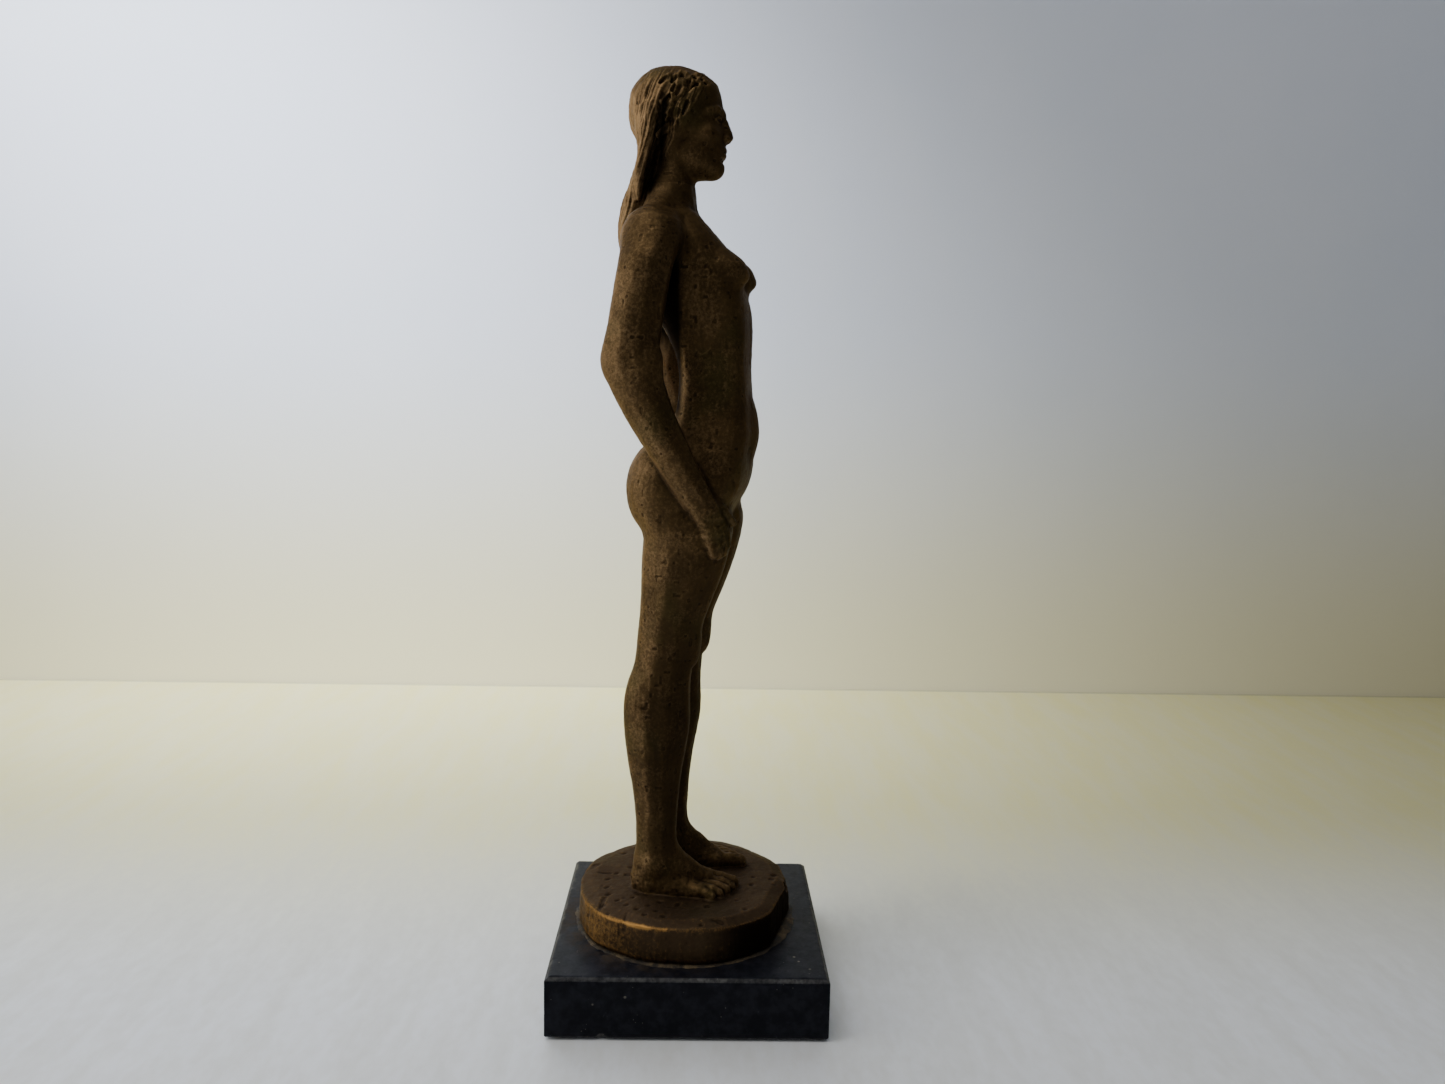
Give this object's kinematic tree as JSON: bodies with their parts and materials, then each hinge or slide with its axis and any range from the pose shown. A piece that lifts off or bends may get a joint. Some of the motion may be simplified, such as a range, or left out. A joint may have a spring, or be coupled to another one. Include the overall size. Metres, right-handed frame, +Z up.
{
  "type": "bronze statuette",
  "caption": "Standing nude bronze figure with arms down and hands on the thighs, on a low round cast plinth bolted to a square black stone base.",
  "frame": {"origin": "centre of the underside of the felt, the face the statuette rests on", "axes": "+Z up, the square base's edges along X and Y, the figure looks towards -Y and its right side is at -X"},
  "size_m": [0.088, 0.088, 0.3012],
  "materials": {
    "bronze_figure": "dark brown patina, rubbed golden on the high places, fine cast grain",
    "bronze_plinth": "dull brown patina over a rough cast surface, rubbed at the rim",
    "black_stone": "polished black stone with fine pale specks",
    "setting_compound": "dry ochre residue",
    "felt": "dark green wool felt",
    "zinc_steel": "zinc plated",
    "bronze_pins": "bare drawn bronze"
  },
  "bodies": {
    "root": {"felt_pad": "felt", "stone_base": "black_stone", "setting_bed": "setting_compound", "plinth": "bronze_plinth", "right_leg": "bronze_figure", "left_leg": "bronze_figure", "torso": "bronze_figure", "head": "bronze_figure", "right_arm": "bronze_figure", "left_arm": "bronze_figure", "base_stud": "zinc_steel", "base_washer": "zinc_steel", "base_nut": "zinc_steel", "foot_pins": "bronze_pins", "joint_dowels": "bronze_pins"}
  },
  "joints": []
}
